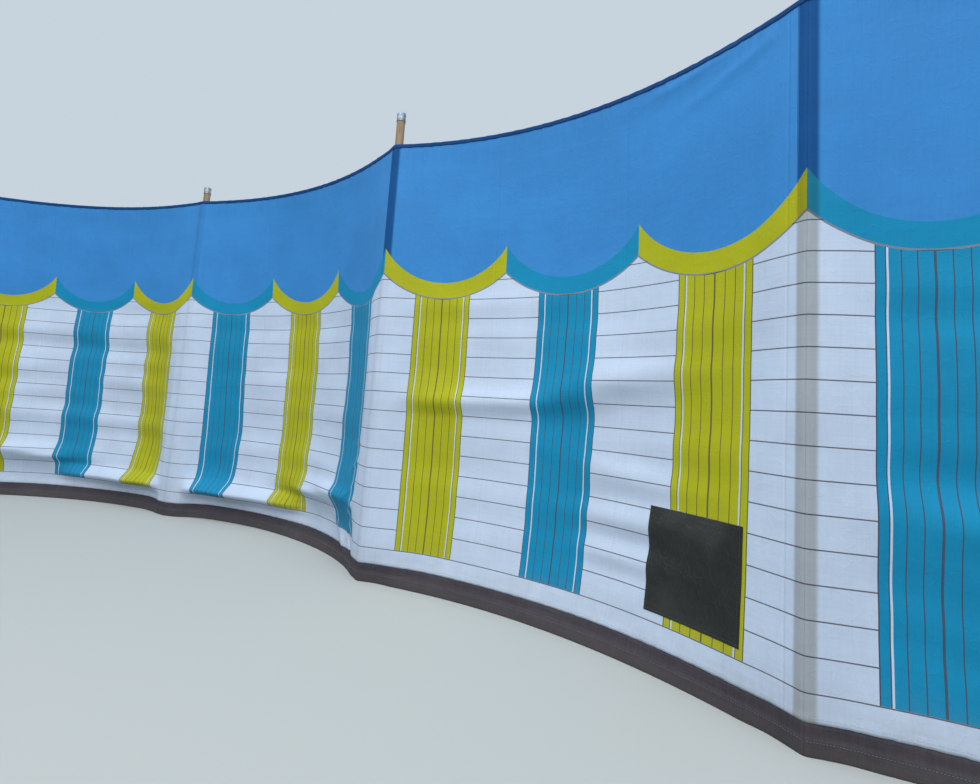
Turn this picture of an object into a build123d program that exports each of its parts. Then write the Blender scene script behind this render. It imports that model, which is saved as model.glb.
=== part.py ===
from build123d import *
import os
from math import acos, asin, atan2, cos, degrees, radians, sin

# Beach windbreak: five bays of one long cloth on six wooden poles that are pushed into the ground.
# Millimetres. The origin is at ground level on the axis of the third pole from the left, where the
# flat foot of that pole is. +X runs along the front bay to the next pole on the right, +Y is the
# way the wind pushes the cloth, and +Z is up. Only what stands above the ground is modelled.

# The cloth: its length between two poles, the height of its upper edge, and how it seats
bay_cut = 1200.0
cloth_top = 1400.0
cloth_thickness = 2.0
seat_gap = 0.3

# How deep each bay bellies in the wind, from the left
belly_1 = 115.0
belly_2 = 115.0
belly_3 = 130.0
belly_4 = 160.0
belly_5 = 140.0

# The way from pole to pole in each bay, in degrees from +X, from the left
heading_1 = 33.0
heading_2 = 4.3
heading_3 = 0.0
heading_4 = -8.0
heading_5 = -17.0

# Dark strip along the ground, below the printed cloth
strip_height = 55.0
strip_thickness = 2.0

# Tape folded over the upper edge
tape_thickness = 1.0
tape_drop = 12.0

# How far each pole stands above the cloth, from the left
pole_rise_1 = 95.0
pole_rise_2 = 70.0
pole_rise_3 = 118.0
pole_rise_4 = 100.0
pole_rise_5 = 85.0
pole_rise_6 = 110.0

# Poles and their pressed metal caps
pole_diameter = 28.0
cap_height = 30.0
cap_wall = 1.2
cap_fit = 0.1

# Sleeves sewn to the back of the cloth, one round each pole
sleeve_thickness = 1.5
sleeve_ease = 0.3
sleeve_reach = 35.0
sleeve_foot = 75.0
sleeve_top_drop = 30.0

# Square patch sewn to the front of the third bay, low down near its right-hand pole
patch_width = 222.0
patch_height = 230.0
patch_thickness = 1.2
patch_from_pole = 112.0
patch_foot = 122.0

# Radii about a pole's axis: the sleeve's outside, and the middle of the cloth in front of it
pole_radius = pole_diameter / 2
sleeve_radius = pole_radius + sleeve_ease + sleeve_thickness
wrap_radius = sleeve_radius + seat_gap + cloth_thickness / 2
rises = [pole_rise_1, pole_rise_2, pole_rise_3, pole_rise_4, pole_rise_5, pole_rise_6]
pole_tops = [cloth_top + rise for rise in rises]


def turned(angle):
    """The unit vector at an angle, in degrees from +X."""
    return Vector(cos(radians(angle)), sin(radians(angle)))


class Bay:
    """One bay in plan: a round belly that meets the cloth round each pole without a corner."""

    def __init__(self, belly, heading):
        self.heading = heading
        # A shallow arc is longer than its chord by 8/3 of the rise squared, over its length
        self.span = bay_cut - 8 * belly**2 / (3 * bay_cut)
        half = self.span / 2
        self.radius = (half**2 + belly**2 - wrap_radius**2) / (2 * (belly + wrap_radius))
        self.lean = degrees(asin(half / (self.radius + wrap_radius)))
        # Directions from the left and the right pole to where the belly leaves the cloth round them
        self.start = heading - 90 + self.lean
        self.end = heading - 90 - self.lean

    def stand(self, left_pole):
        """Sets the bay down from its left pole."""
        self.left = left_pole
        self.right = left_pole + turned(self.heading) * self.span
        self.centre = self.left + turned(self.start) * (self.radius + wrap_radius)

    def direction(self, from_left):
        """The angle about the belly's centre of a point that far along the belly from its left end."""
        return self.start + 180 - degrees(from_left / self.radius)

    def belly_length(self):
        """The length of the belly's own arc."""
        return self.radius * radians(2 * self.lean)


bellies = [belly_1, belly_2, belly_3, belly_4, belly_5]
headings = [heading_1, heading_2, heading_3, heading_4, heading_5]
bays = [Bay(belly, heading) for belly, heading in zip(bellies, headings)]
bay_count = len(bays)

# The third pole stands at the origin, and the bays follow one another from the left
place = Vector(0, 0)
for bay in (bays[1], bays[0]):
    place = place - turned(bay.heading) * bay.span
for bay in bays:
    bay.stand(place)
    place = bay.right
pole_places = [bay.left for bay in bays] + [bays[-1].right]

# Where each pole's cloth is divided: half way round its front, or at the outer side of an end pole
shared = [(before.end + after.start) / 2 for before, after in zip(bays, bays[1:])]
divides = [bays[0].heading - 180] + shared + [bays[-1].heading]


def wall_line(index):
    """Draws the middle line of the cloth of one bay: round a pole, the belly, and round the next."""
    bay = bays[index]
    CenterArc(bay.left, wrap_radius, divides[index], bay.start - divides[index])
    CenterArc(bay.centre, bay.radius, bay.start + 180, -2 * bay.lean)
    CenterArc(bay.right, wrap_radius, bay.end, divides[index + 1] - bay.end)


def wall_strip(index, foot, height, width, mode=Mode.ADD):
    """Raises one bay's stretch of cloth, of a width across its middle line, from a foot upwards."""
    with BuildSketch(Plane.XY.offset(foot)) as strip:
        with BuildLine():
            wall_line(index)
        trace(line_width=width)
    extrude(strip.sketch, amount=height, mode=mode)


def sleeve_seams(index):
    """Where the sleeve round one pole is sewn to the back of the bays beside it."""
    offset_back = cloth_thickness / 2 + seat_gap
    seams = []
    if index < bay_count:
        bay = bays[index]
        seams.append(bay.centre + turned(bay.direction(sleeve_reach)) * (bay.radius + offset_back))
    if index > 0:
        bay = bays[index - 1]
        along = bay.belly_length() - sleeve_reach
        seams.append(bay.centre + turned(bay.direction(along)) * (bay.radius + offset_back))
    return seams


def sleeve_outline(centre, seams, radius):
    """Draws a loop round a pole: arcs about its axis, drawn out to the seams by straight tangents."""
    corners = []
    for seam in seams:
        # The inner face of the sleeve is the outer one made smaller about the pole's axis
        tip = centre + (seam - centre) * (radius / sleeve_radius)
        away = tip - centre
        base = degrees(atan2(away.Y, away.X))
        spread = degrees(acos(radius / away.length))
        corners.append((tip, base - spread, base + spread))
    for current, following in zip(corners, corners[1:] + corners[:1]):
        tip, arrive, leave = current
        Line(centre + turned(arrive) * radius, tip)
        Line(tip, centre + turned(leave) * radius)
        CenterArc(centre, radius, leave, (following[1] - leave) % 360)


os.makedirs("parts", exist_ok=True)

# Poles: round wood from the ground to the underside of the cap's closed end
for index, (place, top) in enumerate(zip(pole_places, pole_tops)):
    with BuildPart() as pole:
        with BuildSketch(Plane.XY):
            with Locations(place):
                Circle(pole_radius)
        extrude(amount=top - cap_wall)
    pole.part.label = f"pole_{index + 1}"
    export_step(pole.part, f"parts/pole_{index + 1}.step")

# Caps: a pressed cup over the end of each pole
cap_inside = pole_radius + cap_fit
cap_outside = cap_inside + cap_wall
for index, (place, top) in enumerate(zip(pole_places, pole_tops)):
    with BuildPart() as pole_cap:
        with BuildSketch(Plane.XY.offset(top - cap_height)):
            with Locations(place):
                Circle(cap_outside)
        extrude(amount=cap_height)
        with BuildSketch(Plane.XY.offset(top - cap_height)):
            with Locations(place):
                Circle(cap_inside)
        extrude(amount=cap_height - cap_wall, mode=Mode.SUBTRACT)
    pole_cap.part.label = f"pole_cap_{index + 1}"
    export_step(pole_cap.part, f"parts/pole_cap_{index + 1}.step")

# Sleeves: a loop of cloth round each pole, drawn out to a seam on the back of each bay beside it
for index, place in enumerate(pole_places):
    seams = sleeve_seams(index)
    with BuildPart() as pole_pocket:
        with BuildSketch(Plane.XY.offset(sleeve_foot)):
            with BuildLine():
                sleeve_outline(place, seams, sleeve_radius)
            make_face()
            with BuildLine():
                sleeve_outline(place, seams, sleeve_radius - sleeve_thickness)
            make_face(mode=Mode.SUBTRACT)
        extrude(amount=cloth_top - sleeve_top_drop - sleeve_foot)
    pole_pocket.part.label = f"pole_pocket_{index + 1}"
    export_step(pole_pocket.part, f"parts/pole_pocket_{index + 1}.step")

# Printed cloth, one length to a bay
for index in range(bay_count):
    with BuildPart() as cloth_bay:
        wall_strip(index, strip_height, cloth_top - strip_height, cloth_thickness)
    cloth_bay.part.label = f"cloth_bay_{index + 1}"
    export_step(cloth_bay.part, f"parts/cloth_bay_{index + 1}.step")

# Ground strips, from the ground to the lower edge of the printed cloth
for index in range(bay_count):
    with BuildPart() as ground_strip:
        wall_strip(index, 0, strip_height, strip_thickness)
    ground_strip.part.label = f"ground_strip_{index + 1}"
    export_step(ground_strip.part, f"parts/ground_strip_{index + 1}.step")

# Top bindings: tape folded over the upper edge, resting on it and hanging down both faces
slot_width = cloth_thickness + 2 * seat_gap
for index in range(bay_count):
    with BuildPart() as top_binding:
        wall_strip(
            index, cloth_top - tape_drop, tape_drop + tape_thickness, slot_width + 2 * tape_thickness
        )
        wall_strip(index, cloth_top - tape_drop, tape_drop, slot_width, Mode.SUBTRACT)
    top_binding.part.label = f"top_binding_{index + 1}"
    export_step(top_binding.part, f"parts/top_binding_{index + 1}.step")

# Sewn patch: follows the belly of its bay, a seat gap in front of the cloth
patch_bay = bays[2]
patch_radius = patch_bay.radius - cloth_thickness / 2 - seat_gap - patch_thickness / 2
patch_left = patch_bay.belly_length() - patch_from_pole - patch_width
patch_turn = -degrees(patch_width / patch_bay.radius)
with BuildPart() as patch:
    with BuildSketch(Plane.XY.offset(patch_foot)):
        with BuildLine():
            CenterArc(patch_bay.centre, patch_radius, patch_bay.direction(patch_left), patch_turn)
        trace(line_width=patch_thickness)
    extrude(amount=patch_height)
patch.part.label = "sewn_patch"
export_step(patch.part, "parts/sewn_patch.step")

for number, bay in enumerate(bays, 1):
    print(f"bay {number}: poles {bay.span:.1f} apart, belly {bay.belly_length():.1f} long")
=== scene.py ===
"""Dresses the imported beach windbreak: printed cloth, tapes, sleeves, patch, stitches, caps and stage.

Everything is in metres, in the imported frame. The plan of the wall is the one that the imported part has:
in each bay the cloth goes round the front of one pole, bellies back in the wind as an arc of a circle,
and goes round the front of the next pole, and the arcs meet without a corner.
"""

import math

import bpy
import numpy as np
from bpy.props import FloatProperty, FloatVectorProperty, IntProperty, PointerProperty
from mathutils import Matrix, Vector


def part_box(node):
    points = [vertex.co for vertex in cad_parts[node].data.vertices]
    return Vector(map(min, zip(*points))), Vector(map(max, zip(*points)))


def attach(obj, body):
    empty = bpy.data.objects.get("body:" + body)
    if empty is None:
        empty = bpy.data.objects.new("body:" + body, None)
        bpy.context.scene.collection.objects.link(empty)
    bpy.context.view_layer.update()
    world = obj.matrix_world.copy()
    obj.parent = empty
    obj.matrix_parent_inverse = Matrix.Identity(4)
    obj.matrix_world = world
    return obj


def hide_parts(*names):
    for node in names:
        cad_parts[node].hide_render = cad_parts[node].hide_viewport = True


bl_info = {
    "name": "Beach Windbreak",
    "version": (1, 0, 0),
    "blender": (4, 5, 0),
    "location": "3D View > Sidebar > Windbreak",
    "description": "Printed cloth, tapes, sleeves, patch, stitches and caps for a beach windbreak",
    "category": "Object",
}

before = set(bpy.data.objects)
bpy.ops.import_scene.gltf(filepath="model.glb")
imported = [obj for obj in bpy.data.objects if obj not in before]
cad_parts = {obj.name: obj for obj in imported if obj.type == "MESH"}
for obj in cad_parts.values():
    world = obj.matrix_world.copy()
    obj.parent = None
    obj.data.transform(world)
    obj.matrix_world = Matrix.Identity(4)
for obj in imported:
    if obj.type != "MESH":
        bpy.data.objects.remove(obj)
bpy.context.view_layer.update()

pole_low, pole_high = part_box("pole_3")
cap_low, cap_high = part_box("pole_cap_3")
tape_low, tape_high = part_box("top_binding_3")
patch_low, patch_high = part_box("sewn_patch")
sleeve_low, sleeve_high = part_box("pole_pocket_3")

BAY_COUNT = sum(name.startswith("cloth_bay_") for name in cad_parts)
POLE_RADIUS = (pole_high.x - pole_low.x) / 2
STRIP_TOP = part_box("ground_strip_3")[1].z

# Room between a cap and its pole, how far the tape hangs down the cloth on each side, and how far the
# rows of stitches are from the edges that they hold
CAP_FIT = 0.0001
TAPE_DROP = 0.012
FOOT_ROW, TAPE_ROW, STRIP_ROW, PATCH_ROW, SLEEVE_ROW = 0.0085, 0.0028, 0.0250, 0.0060, 0.0040

# What the wind does to each bay, from the left: how high its soft cross folds stand, and how much
# deeper the bay is at its foot, half way up and at its top than the round belly of the plan, in metres
BAY_SLACK = (
    (0.0055, 0.010, 0.030, -0.012),
    (0.0022, 0.034, 0.050, -0.014),
    (0.0018, -0.034, 0.022, -0.004),
    (0.0050, -0.020, 0.020, -0.010),
    (0.0055, -0.015, 0.022, -0.018),
)

# The waves of the soft cross folds up the cloth and of the puckers along its seams, each as its
# length in metres and its weight, and those up the sleeves, as length and height in metres
CROSS_WAVES = ((0.31, 0.50), (0.21, 0.55), (0.145, 0.45), (0.095, 0.26))
PUCKER_WAVES = ((0.047, 0.4), (0.031, 0.35), (0.019, 0.25))
SLEEVE_WAVES = ((0.21, 0.0009), (0.12, 0.0006), (0.07, 0.0004))

# How the tape's lower edges wander along the cloth: the height of each wave and its turn per metre
EDGE_WAVES = ((0.0005, 170), (0.0004, 61))

# The large folds, as charts of how far the cloth stands out, in millimetres: a row for each height
# and a number for each place along the bay, with the places first, in metres. In the first chart the
# foot is blown out, rolls over and goes back under itself; in the second one sharp fold crosses the bay
KICKED_FOLDS = (
    (0.035, 0.10, 0.16, 0.27, 0.43, 0.59, 0.71, 0.85, 1.00, 1.10, 1.155),
    {
        0.000: (0, -8, -14, -10, -4, 2, 4, 2, 0, 0, 0),
        0.030: (0, -12, -20, -16, -9, -5, -8, -8, -5, -1, 0),
        0.062: (0, -16, -28, -22, -14, -13, -19, -15, -9, -3, 0),
        0.084: (0, -9, -20, -8, -4, -10, -25, -21, -12, -3, 0),
        0.100: (0, 6, 6, 22, 16, 5, -24, -22, -13, -3, 0),
        0.118: (0, 18, 30, 43, 33, 15, -21, -20, -11, -2, 0),
        0.136: (0, 10, 19, 31, 22, 6, -16, -15, -7, -1, 0),
        0.160: (0, -3, -8, 5, 2, -8, -5, -4, 0, 2, 0),
        0.188: (0, -10, -20, -8, -5, 2, 20, 19, 11, 6, 0),
        0.212: (0, -12, -25, -12, -7, 4, 13, 29, 25, 8, 0),
        0.250: (0, -13, -26, -15, -8, 2, 3, 12, 14, 5, 0),
        0.310: (0, -12, -24, -18, -8, 2, 3, 3, 4, 2, 0),
        0.400: (0, -9, -19, -17, -8, 3, 0, 4, 2, 0, 0),
        0.510: (0, -6, -12, -10, -4, 1, 0, 2, 0, 0, 0),
        0.640: (0, -2, -5, -2, 0, 2, 0, 0, 0, 0, 0),
        0.800: (0, 0, 0, 0, 0, 0, 0, 0, 0, 0, 0),
    },
)
CROSS_FOLDS = (
    (0.035, 0.10, 0.17, 0.34, 0.50, 0.62, 0.75, 0.90, 1.04, 1.155),
    {
        0.000: (0, 0, 0, 0, 0, 0, 0, 0, 0, 0),
        0.040: (0, -3, -8, -6, -5, -6, -7, -5, -2, 0),
        0.080: (0, -7, -15, -13, -12, -14, -14, -9, -3, 0),
        0.150: (0, -9, -20, -18, -17, -19, -17, -11, -4, 0),
        0.180: (0, -9, -21, -18, -17, -20, -18, -12, -4, 0),
        0.215: (0, -9, -21, -19, -17, -19, -11, -6, -4, 0),
        0.257: (0, -9, -20, -18, -16, -20, -19, -12, -4, 0),
        0.305: (0, -8, -19, -17, -14, -18, -9, -4, -3, 0),
        0.355: (0, -8, -18, -15, -12, -19, -17, -9, -3, 0),
        0.400: (0, -7, -16, -13, -10, -17, -10, -4, -2, 0),
        0.455: (0, -6, -14, -11, -8, -17, -16, -8, -2, 0),
        0.500: (0, -5, -12, -9, -5, -16, -14, -6, -2, 0),
        0.523: (0, -4, -9, -6, -2, -15, -14, -6, -2, 0),
        0.545: (0, 1, 5, 6, 6, -12, -13, -6, -2, 0),
        0.564: (0, 5, 11, 16, 18, -4, -12, -5, -1, 0),
        0.584: (0, 4, 7, 13, 19, 8, -7, -3, -1, 0),
        0.606: (0, 2, 2, 6, 12, 14, 1, 0, 0, 0),
        0.632: (0, 0, -1, 2, 6, 12, 12, 5, 1, 0),
        0.660: (0, -1, -4, 0, 2, 6, 11, 7, 2, 0),
        0.700: (0, -1, -5, -2, 0, 2, 3, 2, 1, 0),
        0.780: (0, 0, -2, 2, 1, 0, 0, 0, 0, 0),
        0.880: (0, 0, 0, 0, 0, 0, 0, 0, 0, 0),
    },
)

# Which chart each bay has, how strongly, and whether it is turned end for end
BAY_CHARTS = (
    (KICKED_FOLDS, 0.9, True),
    (KICKED_FOLDS, 1.0, False),
    (CROSS_FOLDS, 1.0, False),
    (CROSS_FOLDS, 0.8, True),
    (KICKED_FOLDS, 0.6, False),
)

# Single small folds in each bay: the place along the bay, the height, the tilt in degrees, half the
# length, half the width and the rise of each; a negative rise is a hollow
BAY_FOLDS = (
    ((0.40, 0.62, 4, 0.26, 0.045, 0.008), (0.85, 0.50, -6, 0.22, 0.040, -0.007)),
    (
        (1.07, 0.335, 34, 0.05, 0.010, 0.005),
        (1.04, 0.235, 40, 0.05, 0.010, 0.005),
        (1.08, 0.195, 46, 0.05, 0.009, 0.007),
        (1.09, 0.42, 30, 0.07, 0.012, 0.003),
        (1.05, 0.115, 52, 0.05, 0.010, 0.006),
        (0.99, 0.070, -34, 0.09, 0.012, 0.009),
        (1.07, 0.072, -50, 0.06, 0.009, -0.008),
    ),
    (
        (0.74, 0.42, -5, 0.16, 0.026, 0.005),
        (0.72, 0.33, -4, 0.15, 0.026, -0.003),
        (0.30, 0.86, 3, 0.22, 0.032, 0.004),
        (1.03, 1.327, 16, 0.12, 0.015, 0.0032),
        (0.93, 1.371, 6, 0.10, 0.012, 0.0026),
    ),
    ((0.30, 0.40, -5, 0.22, 0.040, 0.007), (0.90, 0.30, 6, 0.18, 0.040, 0.008)),
    ((0.42, 0.62, 5, 0.25, 0.045, -0.008), (0.80, 0.56, -4, 0.22, 0.040, 0.009)),
)


class WindbreakCloth(bpy.types.PropertyGroup):
    """Sizes of the long cloth and of how it hangs."""

    bay_cut: FloatProperty(
        name="Bay Cut", description="Cloth between two poles", default=1.2, unit="LENGTH"
    )
    thickness: FloatProperty(
        name="Thickness", description="Across the cloth and the strip", default=0.002, unit="LENGTH"
    )
    seat_gap: FloatProperty(
        name="Seat Gap", description="Air between two layers", default=0.0003, unit="LENGTH"
    )
    top: FloatProperty(
        name="Top", description="Height of the upper edge", default=tape_high.z - 0.001, unit="LENGTH"
    )
    hem_fold: FloatProperty(
        name="Hem Fold", description="How much a turned hem stands out", default=0.0006, unit="LENGTH"
    )
    fold_allowance: FloatProperty(
        name="Fold Allowance",
        description="Height of cloth that the folds take up",
        default=0.055,
        unit="LENGTH",
    )
    slack: FloatProperty(
        name="Slack", description="Share of the folds that the table of bays gives", default=1.0, min=0.0
    )
    seed: IntProperty(name="Seed", description="Chooses another set of small folds", default=7)


class WindbreakSleeves(bpy.types.PropertyGroup):
    """Sizes of the sleeves that hold the poles."""

    thickness: FloatProperty(
        name="Thickness", description="Across the sleeve's cloth", default=0.0015, unit="LENGTH"
    )
    ease: FloatProperty(
        name="Ease", description="Air between pole and sleeve", default=0.0003, unit="LENGTH"
    )
    reach: FloatProperty(
        name="Reach", description="From the belly's end to the seam", default=0.035, unit="LENGTH"
    )
    hem: FloatProperty(name="Hem", description="Turned hem at each end", default=0.012, unit="LENGTH")


class WindbreakTrim(bpy.types.PropertyGroup):
    """Sizes of the tape, the patch and the stitches."""

    tape_thickness: FloatProperty(
        name="Tape Thickness", description="Across the tape", default=0.001, unit="LENGTH"
    )
    patch_gap: FloatProperty(
        name="Patch Distance", description="From the last pole to the patch", default=0.112, unit="LENGTH"
    )
    patch_width: FloatProperty(
        name="Patch Width", description="Along the cloth", default=0.222, unit="LENGTH"
    )
    patch_thickness: FloatProperty(
        name="Patch Thickness", description="Across the patch", default=0.0012, unit="LENGTH"
    )
    stitch_pitch: FloatProperty(
        name="Stitch Pitch", description="From one stitch to the next", default=0.005, unit="LENGTH"
    )
    stitch_length: FloatProperty(
        name="Stitch Length", description="Thread that shows in a stitch", default=0.0036, unit="LENGTH"
    )
    thread: FloatProperty(name="Thread", description="Thread diameter", default=0.0008, unit="LENGTH")


class WindbreakPrint(bpy.types.PropertyGroup):
    """Sizes and colours of the printed design: a scalloped top band over broad stripes."""

    scallop_width: FloatProperty(
        name="Scallop Width", description="From one point to the next", default=0.4, unit="LENGTH"
    )
    scallop_top: FloatProperty(
        name="Scallop Top", description="Height where the arcs are widest", default=1.16, unit="LENGTH"
    )
    scallop_drop: FloatProperty(
        name="Scallop Drop", description="How far a scallop hangs down", default=0.225, unit="LENGTH"
    )
    stripe_width: FloatProperty(
        name="Stripe Width", description="Width of a broad stripe", default=0.18, unit="LENGTH"
    )
    top_colour: FloatVectorProperty(
        name="Top Band", description="Colour of the top band", subtype="COLOR", default=(0.050, 0.280, 0.68)
    )
    field_colour: FloatVectorProperty(
        name="Field", description="Colour of the field", subtype="COLOR", default=(0.64, 0.75, 0.93)
    )
    lime_colour: FloatVectorProperty(
        name="Lime", description="First stripe colour", subtype="COLOR", default=(0.50, 0.51, 0.014)
    )
    teal_colour: FloatVectorProperty(
        name="Teal", description="Second stripe colour", subtype="COLOR", default=(0.008, 0.29, 0.53)
    )
    line_colour: FloatVectorProperty(
        name="Lines", description="Colour of the fine lines", subtype="COLOR", default=(0.085, 0.060, 0.075)
    )


class WindbreakFinish(bpy.types.PropertyGroup):
    """Colours of everything that isn't printed."""

    tape_colour: FloatVectorProperty(
        name="Tape", description="Tape on the upper edge", subtype="COLOR", default=(0.001, 0.055, 0.22)
    )
    strip_colour: FloatVectorProperty(
        name="Ground Strip",
        description="Strip along the ground",
        subtype="COLOR",
        default=(0.050, 0.043, 0.056),
    )
    patch_colour: FloatVectorProperty(
        name="Patch", description="Sewn patch", subtype="COLOR", default=(0.016, 0.0175, 0.0145)
    )
    sleeve_colour: FloatVectorProperty(
        name="Sleeves", description="Sleeves on the back", subtype="COLOR", default=(0.60, 0.68, 0.82)
    )
    wood_colour: FloatVectorProperty(
        name="Wood", description="Poles", subtype="COLOR", default=(0.37, 0.255, 0.15)
    )
    metal_colour: FloatVectorProperty(
        name="Metal", description="Caps", subtype="COLOR", default=(0.46, 0.56, 0.63)
    )


class WindbreakStage(bpy.types.PropertyGroup):
    """Camera, lights and floor."""

    lens: FloatProperty(name="Lens", description="Focal length in mm", default=19.14)
    heading: FloatProperty(
        name="Heading", description="Left of +Y", subtype="ANGLE", default=math.radians(37.86)
    )
    pitch: FloatProperty(name="Pitch", description="Above level", subtype="ANGLE", default=math.radians(5.65))
    roll: FloatProperty(name="Roll", description="Anticlockwise", subtype="ANGLE", default=math.radians(3.98))
    place: FloatVectorProperty(
        name="Place", description="Where the camera is", subtype="TRANSLATION", default=(1.264, -1.135, 0.547)
    )
    shift: FloatVectorProperty(
        name="Shift", description="How far the lens is shifted, in widths", size=2, default=(0.0159, -0.0357)
    )
    floor_colour: FloatVectorProperty(
        name="Floor", description="Floor and ground light", subtype="COLOR", default=(0.33, 0.34, 0.33)
    )
    sky_colour: FloatVectorProperty(
        name="Sky", description="Light from all round", subtype="COLOR", default=(0.60, 0.69, 0.76)
    )


def smooth_step(values, low, high):
    """Rises from 0 at low to 1 at high as three squares less two cubes of the way there."""
    way = np.clip((values - low) / (high - low), 0, 1)
    return way * way * (3 - 2 * way)


def direction(angle):
    """The unit vectors at an array of angles, from the x axis."""
    return np.stack((np.cos(angle), np.sin(angle)), axis=-1)


def unit(arrows):
    """The same arrows, each one long."""
    return arrows / np.linalg.norm(arrows, axis=-1, keepdims=True)


def tint(colour, share, lift=0.0):
    """A colour times a share, or a share for each channel, with a lift, and at most white."""
    return tuple(np.minimum(np.array(colour) * share + lift, 1.0).tolist())


class Bay:
    """One bay in plan: round the front of a pole, along the belly, round the front of the next."""

    def __init__(self, left, right, bay_cut, wrap_radius):
        """A shallow arc is longer than its chord by 8/3 of the rise squared, over its length."""
        self.left, self.right, self.wrap = left, right, wrap_radius
        way = right - left
        self.heading = math.atan2(way[1], way[0])
        half = math.hypot(*way) / 2
        belly = math.sqrt((bay_cut - 2 * half) * 3 * bay_cut / 8)
        self.radius = (half**2 + belly**2 - wrap_radius**2) / (2 * (belly + wrap_radius))
        self.lean = math.asin(half / (self.radius + wrap_radius))
        self.start = self.heading - math.pi / 2 + self.lean
        self.end = self.heading - math.pi / 2 - self.lean
        self.centre = left + direction(self.start) * (self.radius + wrap_radius)
        self.belly_length = self.radius * 2 * self.lean
        self.divides = [self.heading - math.pi, self.heading]
        self.open_end = [True, True]

    def settle(self):
        """Works out the lengths of the two short arcs, once both divides are known."""
        self.before = self.wrap * (self.start - self.divides[0])
        self.after = self.wrap * (self.divides[1] - self.end)
        self.length = self.before + self.belly_length + self.after
        quarter = self.wrap * math.pi / 2
        self.print_from = quarter if self.open_end[0] else 0.0
        self.print_to = self.length - (quarter if self.open_end[1] else 0.0)

    def plan(self, along):
        """Where the cloth's middle is in plan, and which way its front faces, at lengths from the left
        divide: a turn about the left pole, then about the belly's centre, then about the right pole."""
        belly = along - self.before
        first = direction(self.divides[0] + along / self.wrap)
        middle = direction(self.start + math.pi - belly / self.radius)
        last = direction(self.end + (belly - self.belly_length) / self.wrap)
        on_first = (belly < 0)[..., None]
        on_last = (belly > self.belly_length)[..., None]
        place = np.where(
            on_first,
            self.left + first * self.wrap,
            np.where(on_last, self.right + last * self.wrap, self.centre + middle * self.radius),
        )
        front = np.where(on_first, first, np.where(on_last, last, -middle))
        return place, front

    def columns(self, step):
        """Lengths along the bay for a grid: every 6 degrees round a pole, 4 mm apart within 60 mm of
        one, and a step apart in between."""
        turn, close, close_count = math.radians(6), 0.06, 15
        near, far = self.before + close, self.before + self.belly_length - close
        round_pole = [max(2, round(arc / self.wrap / turn)) for arc in (self.before, self.after)]
        count = [round_pole[0], close_count, round((far - near) / step), close_count, round_pole[1]]
        stops = [0, self.before, near, far, self.before + self.belly_length, self.length]
        parts = [np.linspace(a, b, n, endpoint=False) for a, b, n in zip(stops, stops[1:], count)]
        return np.concatenate(parts + [[self.length]])

    def printed(self, number, along, bay_cut):
        """How far along the print a length is: the same print length in each bay, pole to pole."""
        share = (along - self.print_from) / (self.print_to - self.print_from)
        return (number + share) * bay_cut


def read_bays():
    """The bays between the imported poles; neighbours part half way round the front of their pole."""
    scene = bpy.context.scene
    cloth, sleeves = scene.windbreak_cloth, scene.windbreak_sleeves
    places = []
    for number in range(BAY_COUNT + 1):
        low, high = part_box(f"pole_{number + 1}")
        places.append(np.array([(low.x + high.x) / 2, (low.y + high.y) / 2]))
    wrap = POLE_RADIUS + sleeves.ease + sleeves.thickness + cloth.seat_gap + cloth.thickness / 2
    bays = [Bay(left, right, cloth.bay_cut, wrap) for left, right in zip(places, places[1:])]
    for before, after in zip(bays, bays[1:]):
        before.divides[1] = after.divides[0] = (before.end + after.start) / 2
        before.open_end[1] = after.open_end[0] = False
    for bay in bays:
        bay.settle()
    return bays


def curve_weights(knots, values):
    """How much each knot counts at each value, on a smooth curve through the knots: cubic pieces that
    have at each knot the slope that its neighbours give it. Past the ends the curve stays level."""
    each = np.eye(len(knots))
    slopes = np.gradient(each, knots, axis=0)
    slopes[[0, -1]] = 0
    piece = np.clip(np.searchsorted(knots, values) - 1, 0, len(knots) - 2)
    gap = (knots[piece + 1] - knots[piece])[..., None]
    way = np.clip((values - knots[piece])[..., None] / gap, 0, 1)
    left = (1 + 2 * way) * (1 - way) ** 2 * each[piece] + way * (1 - way) ** 2 * gap * slopes[piece]
    right = way**2 * (3 - 2 * way) * each[piece + 1] - way**2 * (1 - way) * gap * slopes[piece + 1]
    return left + right


def charted_folds(bay, number, belly, height):
    """The large folds of a bay, read from its chart on smooth curves up and along the cloth, in metres."""
    (places, rows), strength, turned = BAY_CHARTS[number % len(BAY_CHARTS)]
    if turned:
        belly = bay.belly_length - belly
    up = curve_weights(np.array(list(rows)), height) @ np.array(list(rows.values()), float)
    return (up * curve_weights(np.array(places), belly)).sum(axis=-1) * strength * 0.001


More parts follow.
